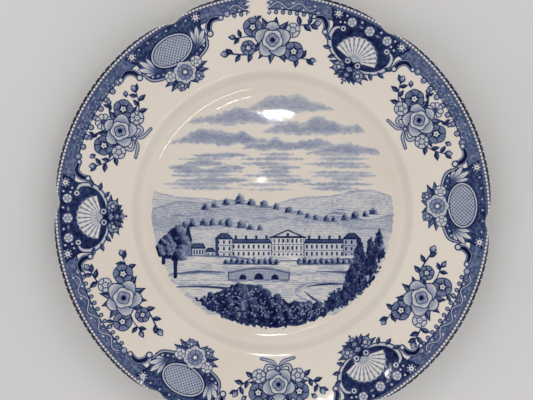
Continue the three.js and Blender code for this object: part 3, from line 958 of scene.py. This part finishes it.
def body_section():
    """Radius and height from the axis underneath, over the foot and the lip, to the axis on the face."""
    foot = FOOT_RADIUS
    under = [(0, 2.4), (30, 2.4), (55, 2.4), (64, 2.42), (foot - 4.2, 2.2), (foot - 2.6, 1.4), (foot - 1.9, 0.45),
             (foot - 1.3, 0.06), (foot - 0.5, 0.0), (foot + 0.5, 0.0), (foot + 1.2, 0.06), (foot + 1.8, 0.4),
             (foot + 2.3, 1.2), (foot + 2.9, 2.2), (foot + 4.4, 2.9), (foot + 6.4, 3.7), (foot + 8.3, 4.9),
             (foot + 10.2, 7.0), (foot + 12.1, 9.4), (foot + 14.3, 11.2), (foot + 18.5, 12.3), (96, 13.6), (105, 15.2),
             (115, 17.2), (121, 18.5),
             (RIM_RADIUS - 2.2, 19.35), (RIM_RADIUS - 1.0, 19.75), (RIM_RADIUS - 0.3, 20.3), (RIM_RADIUS, 20.95)]
    below = spline(under, False, 4)
    radii = np.concatenate([RIM_RADIUS - LIP_ROUNDING * (1 - np.cos(np.linspace(0, math.pi / 2, 9)[1:])),
                            np.linspace(RIM_RADIUS - 2.2, VERGE_RADIUS + 1, 22),
                            np.linspace(VERGE_RADIUS + 0.6, FLOOR_RADIUS + 1, 44),
                            np.linspace(FLOOR_RADIUS, 58, 19), np.linspace(54, 2, 9), [0.0]])
    above = np.column_stack([radii, face_height(radii) - FILM])
    section = np.vstack([below, above])
    section[:, 1] = np.maximum(section[:, 1], 0)
    return section


def make_mesh(name, points, faces, values=None):
    """A smooth mesh object from arrays: points in millimetres, faces of four corners, a value for each point."""
    mesh = bpy.data.meshes.new(name)
    mesh.vertices.add(len(points))
    mesh.vertices.foreach_set("co", (np.asarray(points, float) * MM).ravel())
    faces = np.asarray(faces)
    mesh.loops.add(faces.size)
    mesh.loops.foreach_set("vertex_index", faces.ravel())
    mesh.polygons.add(len(faces))
    mesh.polygons.foreach_set("loop_start", np.arange(0, faces.size, faces.shape[1]))
    mesh.polygons.foreach_set("use_smooth", np.ones(len(faces), bool))
    mesh.update(calc_edges=True)
    for key, value in (values or {}).items():
        mesh.attributes.new(key, "FLOAT", "POINT").data.foreach_set("value", np.asarray(value, float))
    piece = bpy.data.objects.new(name, mesh)
    bpy.context.scene.collection.objects.link(piece)
    return piece


def ring_quads(rows, columns):
    """Faces of a grid of points that closes on itself along its rows."""
    i, j = np.meshgrid(np.arange(rows - 1), np.arange(columns), indexing="ij")
    a, b = i * columns + j, i * columns + (j + 1) % columns
    return np.stack([a, a + columns, b + columns, b], -1).reshape(-1, 4)[:, ::-1]


def body_mesh():
    """The turned body, with its edge drawn in at the nicks."""
    section = body_section()
    ring = section[1:-1]
    turns = 840
    even = np.arange(turns) * 360 / turns
    angle = even - np.degrees(0.5 / LOBES * np.sin(np.radians(LOBES * even))) + LOBE_TURN
    stretch = lobe_stretch(angle)
    radius = ring[:, :1]
    reach = np.minimum(radius, VERGE_RADIUS) + np.maximum(radius - VERGE_RADIUS, 0) * stretch
    c, s = np.cos(np.radians(angle)), np.sin(np.radians(angle))
    height = np.repeat(ring[:, 1:], turns, 1)
    points = np.stack([reach * c, reach * s, height], -1).reshape(-1, 3)
    rows, columns = len(ring), turns
    faces = ring_quads(rows, columns)
    base = len(points)
    points = np.vstack([points, [[0, 0, section[0, 1]], [0, 0, section[-1, 1]]]])
    # the caps are fans of four-cornered faces, two ring steps each
    k = np.arange(0, columns, 2)
    k1, k2 = (k + 1) % columns, (k + 2) % columns
    under = np.stack([np.full(len(k), base), k2, k1, k], -1)
    top = (rows - 1) * columns
    over = np.stack([np.full(len(k), base + 1), top + k, top + k1, top + k2], -1)
    flat = np.hypot(points[:, 0], points[:, 1])
    bare = np.clip(1 - np.abs(flat - FOOT_RADIUS) / 1.5, 0, 1) * (points[:, 2] < 0.35)
    # three small bare marks under the rim, left by the kiln's stilts
    for turn in STILT_TURNS:
        c, s = unit(turn)
        away = np.hypot(points[:, 0] - STILT_RADIUS * c, points[:, 1] - STILT_RADIUS * s)
        mark = np.clip(1 - away / STILT_SIZE, 0, 1) * (points[:, 2] < 17)
        points[:, 2] -= STILT_HEIGHT * mark
        bare = np.maximum(bare, mark)
    return make_mesh("glazed_body", points, np.vstack([faces, under, over]), {"bare": bare})


# ---------------------------------------------------------------------------------------------- printed films


def film(name, points, ink, quads):
    """The part of a grid that carries ink, as one piece."""
    used = np.zeros(len(points), bool)
    used[quads.ravel()] = True
    index = np.cumsum(used) - 1
    return make_mesh(name, points[used], index[quads], {"ink": ink[used]})


STEP = 0.28  # size of the cells in the rim's films
NO_INK = 0.004  # cells paler than this are left out


def split_radius(away):
    """Where the rim's border ends and the flowers begin, by degrees from a spray's middle."""
    return np.interp(np.abs(away), (0, 7, 10.5, 12.5, 17), (113.7, 113.7, 112.5, 104, 103))


def rim_films():
    """All the films on the rim: cut from one drawing of a third of the rim, repeated."""
    radius = np.arange(80.6, RIM_RADIUS - 0.3, STEP)
    columns = int(math.radians(120) * 126 / STEP)
    angle = np.arange(columns) * 120 / columns
    r, a = np.meshgrid(radius, angle, indexing="ij")
    third = draw_rim(r.ravel(), a.ravel(), 7).reshape(r.shape)
    ink = np.tile(third, (1, REPEATS))
    around = np.arange(columns * REPEATS) * 120 / columns
    r, a = np.meshgrid(radius, around, indexing="ij")
    # the border's tissue ends short of meeting itself at the top
    tear = 0.5 * np.sin(r * 2.1) + 0.35 * np.sin(r * 5.3)
    ink = np.where((r > 113.6) & (a > 91.3 + tear * 0.8) & (a < 96.9 + tear), 0, ink)
    edge = edge_radius(a)
    # the print stops a little inside the edge, most at the nicks
    ink = np.where(r > edge - 0.3, 0, ink)
    c, s = np.cos(np.radians(a)), np.sin(np.radians(a))
    points = np.stack([r * c, r * s, face_height_at(r, a)], -1).reshape(-1, 3)
    quads = ring_quads(*r.shape)
    flat_ink = ink.ravel()
    inked = flat_ink[quads].max(1) > NO_INK
    inside = r.ravel()[quads].max(1) < edge.ravel()[quads].min(1) - 0.12
    quads = quads[inked & inside]
    mid_r = r.ravel()[quads].mean(1)
    mid_a = a.ravel()[quads[:, 0]]
    turned = (mid_a - PRINT_TURN) % 360
    sector = (turned // 120).astype(int)
    within = turned % 120
    bead = mid_r > 122.4
    lobe = ((mid_a - LOBE_TURN) % 360 // (360 / LOBES)).astype(int)
    quarter = ((within + 15) // 30).astype(int)  # 0 and 4 lattice, 1 bouquet, 2 shell, 3 rose spray
    lattice = (quarter == 0) | (quarter == 4)
    lattice_number = np.where(quarter == 4, (sector + 1) % REPEATS, sector)
    first, shell, second = quarter == 1, quarter == 2, quarter == 3
    first_spray = first & (mid_r < split_radius(within - (BOUQUET_TURN - PRINT_TURN)))
    second_spray = second & (mid_r < split_radius(within - (SPRAY_TURN - PRINT_TURN)))
    pieces = []
    for k in range(LOBES):
        pieces.append((f"edge_bead_print_{k + 1}", bead & (lobe == k), "bead_ink"))
    for k in range(REPEATS):
        here = ~bead & (sector == k)
        pieces += [
            (f"lattice_cartouche_print_{k + 1}", ~bead & lattice & (lattice_number == k), "cartouche_ink"),
            (f"shell_cartouche_print_{k + 1}", here & shell, "cartouche_ink"),
            (f"bouquet_print_{k + 1}", here & first_spray, "flower_ink"),
            (f"rose_spray_print_{k + 1}", here & second_spray, "flower_ink"),
            (f"arch_border_print_{k + 1}", here & first & ~first_spray, "border_ink"),
            (f"leaf_border_print_{k + 1}", here & second & ~second_spray, "border_ink"),
        ]
    for node, chosen, slot in pieces:
        piece = film(node.replace("print", "film"), points, flat_ink, quads[chosen])
        dress(piece, slot, node)


LAND_STEP = 0.3  # size of the cells in the landscape's films


def landscape_films():
    """The landscape, in three bands."""
    reach = LANDSCAPE_RADIUS
    line = np.arange(-reach, reach + LAND_STEP / 2, LAND_STEP)
    x, y = np.meshgrid(line, line)
    flat = np.hypot(x, y)
    ink = np.zeros(x.shape)
    inside = flat < reach
    ink[inside] = draw_landscape(x[inside], y[inside], 9)
    points = np.stack([x, y, face_height(flat)], -1).reshape(-1, 3)
    n = len(line)
    i, j = np.meshgrid(np.arange(n - 1), np.arange(n - 1), indexing="ij")
    quads = np.stack([i * n + j, i * n + j + 1, (i + 1) * n + j + 1, (i + 1) * n + j], -1).reshape(-1, 4)
    flat_ink = ink.ravel()
    quads = quads[(flat_ink[quads].max(1) > NO_INK) & (flat.ravel()[quads].max(1) < reach)]
    mid = y.ravel()[quads].mean(1)
    for name, low, high in (("landscape_sky_film", 11, 99), ("landscape_house_film", -31, 11),
                            ("landscape_garden_film", -99, -31)):
        piece = film(name, points, flat_ink, quads[(mid >= low) & (mid < high)])
        dress(piece, "landscape_ink", "landscape_print")


# ---------------------------------------------------------------------------------------------- glaze and ink


def nodes_of(name):
    """A new node material, its node tree and its shader."""
    material = bpy.data.materials.new(name)
    material.use_nodes = True
    tree = material.node_tree
    shader = tree.nodes["Principled BSDF"]
    return material, tree, shader


def add(tree, kind, **values):
    node = tree.nodes.new(kind)
    for key, value in values.items():
        setattr(node, key, value)
    return node


def noise(tree, scale, detail, roughness=0.5):
    where = add(tree, "ShaderNodeTexCoord")
    node = add(tree, "ShaderNodeTexNoise")
    node.inputs["Scale"].default_value = scale
    node.inputs["Detail"].default_value = detail
    node.inputs["Roughness"].default_value = roughness
    tree.links.new(where.outputs["Object"], node.inputs["Vector"])
    return node.outputs["Fac"]


def spread(tree, source, low, high, out_low, out_high):
    node = add(tree, "ShaderNodeMapRange", clamp=True)
    for key, value in (("From Min", low), ("From Max", high), ("To Min", out_low), ("To Max", out_high)):
        node.inputs[key].default_value = value
    tree.links.new(source, node.inputs["Value"])
    return node.outputs["Result"]


def ramp(tree, source, stops):
    node = add(tree, "ShaderNodeValToRGB")
    elements = node.color_ramp.elements
    while len(elements) < len(stops):
        elements.new(0.5)
    for element, (at, colour) in zip(elements, stops):
        element.position = at
        element.color = (*colour, 1.0)
    tree.links.new(source, node.inputs["Fac"])
    return node.outputs["Color"]


def mix(tree, factor, first, second):
    """One colour over another, by a factor from a node."""
    node = add(tree, "ShaderNodeMix", data_type="RGBA", blend_type="MIX")
    tree.links.new(factor, node.inputs["Factor"])
    for socket, value in (("A", first), ("B", second)):
        target = next(s for s in node.inputs if s.name == socket and s.type == "RGBA")
        if isinstance(value, tuple):
            target.default_value = (*value, 1.0)
        else:
            tree.links.new(value, target)
    return next(s for s in node.outputs if s.type == "RGBA")


def glaze_finish(tree, shader):
    """Clear glaze: glossy, with a faint uneven gloss and a very slight ripple."""
    shader.inputs["IOR"].default_value = 1.52
    gloss = spread(tree, noise(tree, 90.0, 4.0), 0.35, 0.7, *GLAZE_ROUGHNESS)
    tree.links.new(gloss, shader.inputs["Roughness"])
    bump = add(tree, "ShaderNodeBump")
    bump.inputs["Strength"].default_value = 0.18
    bump.inputs["Distance"].default_value = 0.00006
    tree.links.new(noise(tree, 260.0, 2.0), bump.inputs["Height"])
    tree.links.new(bump.outputs["Normal"], shader.inputs["Normal"])


GLAZE_ROUGHNESS = (0.02, 0.045)
CREAM = (0.615, 0.552, 0.486)
CREAM_WARM = (0.590, 0.517, 0.445)
BISCUIT = (0.52, 0.44, 0.34)
INK_STOPS = (
    (0.0, CREAM),
    (0.12, (0.475, 0.465, 0.455)),
    (0.30, (0.285, 0.300, 0.360)),
    (0.45, (0.180, 0.204, 0.280)),
    (0.60, (0.102, 0.127, 0.212)),
    (0.72, (0.050, 0.070, 0.140)),
    (0.86, (0.0135, 0.024, 0.079)),
)  # ink from none to dark; the deepest ink, at 1, is each material's own
NAVY = (0.0012, 0.0030, 0.028)
BEAD_NAVY = (0.010, 0.0055, 0.016)


def cream_colour(tree):
    """Ivory glaze with soft warm clouds."""
    return ramp(tree, noise(tree, 14.0, 5.0, 0.55), ((0.35, CREAM_WARM), (0.62, CREAM)))


def cream_glaze():
    material, tree, shader = nodes_of("cream_glaze")
    glaze_finish(tree, shader)
    # a few fine iron specks in the body
    where = add(tree, "ShaderNodeTexCoord")
    cells = add(tree, "ShaderNodeTexVoronoi", feature="F1")
    cells.inputs["Scale"].default_value = 85.0
    tree.links.new(where.outputs["Object"], cells.inputs["Vector"])
    speck = spread(tree, cells.outputs["Distance"], 0.012, 0.03, 0.55, 0.0)
    colour = mix(tree, speck, cream_colour(tree), (0.16, 0.10, 0.06))
    bare = add(tree, "ShaderNodeAttribute", attribute_name="bare")
    colour = mix(tree, bare.outputs["Fac"], colour, BISCUIT)
    tree.links.new(colour, shader.inputs["Base Color"])
    return material


def ink_glaze(slot, shift, strength, deepest):
    """Cobalt print under clear glaze: the drawn density, slightly uneven, over the cream body."""
    material, tree, shader = nodes_of(slot)
    glaze_finish(tree, shader)
    drawn = add(tree, "ShaderNodeAttribute", attribute_name="ink")
    uneven = spread(tree, noise(tree, 55.0 + shift, 4.0, 0.6), 0.3, 0.7, 0.94 * strength, 1.06 * strength)
    pulled = add(tree, "ShaderNodeMath", operation="MULTIPLY", use_clamp=True)
    tree.links.new(drawn.outputs["Fac"], pulled.inputs[0])
    tree.links.new(uneven, pulled.inputs[1])
    inked = ramp(tree, pulled.outputs[0], INK_STOPS + ((1.0, deepest),))
    thin = spread(tree, drawn.outputs["Fac"], 0.0, 0.05, 0.0, 1.0)
    tree.links.new(mix(tree, thin, cream_colour(tree), inked), shader.inputs["Base Color"])
    return material


MATERIALS = {
    "cream_glaze": cream_glaze(),
    "landscape_ink": ink_glaze("landscape_ink", 0.0, 1.03, NAVY),
    "cartouche_ink": ink_glaze("cartouche_ink", 3.0, 1.02, NAVY),
    "flower_ink": ink_glaze("flower_ink", 6.0, 1.06, NAVY),
    "border_ink": ink_glaze("border_ink", 9.0, 1.0, NAVY),
    "bead_ink": ink_glaze("bead_ink", 12.0, 1.0, BEAD_NAVY),
}


def dress(piece, slot, node):
    """Gives a piece its glaze, hangs it under the root and hides the CAD node that it stands in for."""
    piece.data.materials.append(MATERIALS[slot])
    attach(piece, "root")
    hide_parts(node)


dress(body_mesh(), "cream_glaze", "earthenware_body")
rim_films()
landscape_films()

# ---------------------------------------------------------------------------------------------- studio and camera


def studio():
    """A pale table, soft overhead light, and the small lamps that show in the glaze."""
    bpy.ops.mesh.primitive_plane_add(size=6, location=(0, 0, 0))
    table = bpy.context.object
    table.name = "studio_table"
    material, tree, shader = nodes_of("table_paint")
    shader.inputs["Roughness"].default_value = 0.85
    tree.links.new(ramp(tree, noise(tree, 3.0, 4.0), ((0.3, (0.52, 0.51, 0.495)), (0.7, (0.57, 0.56, 0.545)))),
                   shader.inputs["Base Color"])
    table.data.materials.append(material)
    world = bpy.data.worlds.new("studio")
    bpy.context.scene.world = world
    world.use_nodes = True
    background = world.node_tree.nodes["Background"]
    background.inputs["Color"].default_value = (0.80, 0.80, 0.82, 1.0)
    tree = world.node_tree
    direction = add(tree, "ShaderNodeTexCoord")
    part = add(tree, "ShaderNodeSeparateXYZ")
    tree.links.new(direction.outputs["Generated"], part.inputs["Vector"])
    # a studio with pale walls and a darker ceiling
    tree.links.new(spread(tree, part.outputs["Z"], 0.45, 0.93, 1.30, 0.13), background.inputs["Strength"])

    def lamp(name, place, target, width, depth, power, shape="RECTANGLE", shows=True, turn=0):
        data = bpy.data.lights.new(name, "AREA")
        data.shape = shape
        data.size, data.size_y = width, depth
        data.energy = power
        lamp_object = bpy.data.objects.new(name, data)
        bpy.context.scene.collection.objects.link(lamp_object)
        lamp_object.visible_glossy = shows
        aim(lamp_object, place, target, turn)

    for k, (turn, power) in enumerate(((40, 6.8), (130, 7.2), (220, 4.6), (310, 4.6))):
        c, s = unit(turn)
        lamp(f"softbox_{k + 1}", (1.15 * c, 1.15 * s, 1.5), (0, 0, 0), 1.1, 0.9, power, shows=False)
    lamp("window", (0.0114, 0.148, 1.2), (0.0114, 0.148, 0), 0.052, 0.016, 0.36, "ELLIPSE")
    lamp("lantern", (-0.0121, 0.0383, 1.2), (-0.0121, 0.0383, 0), 0.017, 0.007, 0.007, "ELLIPSE")
    lamp("far_strip", (0.208, -0.267, 1.2), (0, 0, 0), 0.32, 0.08, 1.0, turn=38)


def aim(thing, place, target, turn=0):
    """Puts a lamp or camera at a place, looking at a target, with its top towards +Y, turned by some degrees."""
    away = np.asarray(place, float) - np.asarray(target, float)
    away /= np.linalg.norm(away)
    across = np.cross((0, 1, 0), away)
    across /= np.linalg.norm(across)
    up = np.cross(away, across)
    c, s = unit(turn)
    pose = np.eye(4)
    pose[:3, 0], pose[:3, 1], pose[:3, 2], pose[:3, 3] = c * across + s * up, c * up - s * across, away, place
    thing.matrix_world = Matrix(pose.tolist())


studio()

VIEW_DISTANCE = 0.70  # of the camera over the rim
VIEW_WIDTH = 0.3063  # width seen at that distance
VIEW_MIDDLE = (-0.0035, 0.0069)
lens = bpy.data.cameras.new("camera")
lens.sensor_width = 36.0
lens.lens = 36.0 * VIEW_DISTANCE / VIEW_WIDTH
lens.clip_start = 0.01
lens.dof.use_dof = False
camera = bpy.data.objects.new("camera", lens)
bpy.context.scene.collection.objects.link(camera)
height = cad_box[1][2] + VIEW_DISTANCE
aim(camera, (*VIEW_MIDDLE, height), (*VIEW_MIDDLE, 0.0))
bpy.context.scene.camera = camera
bpy.context.scene.view_settings.view_transform = "Standard"
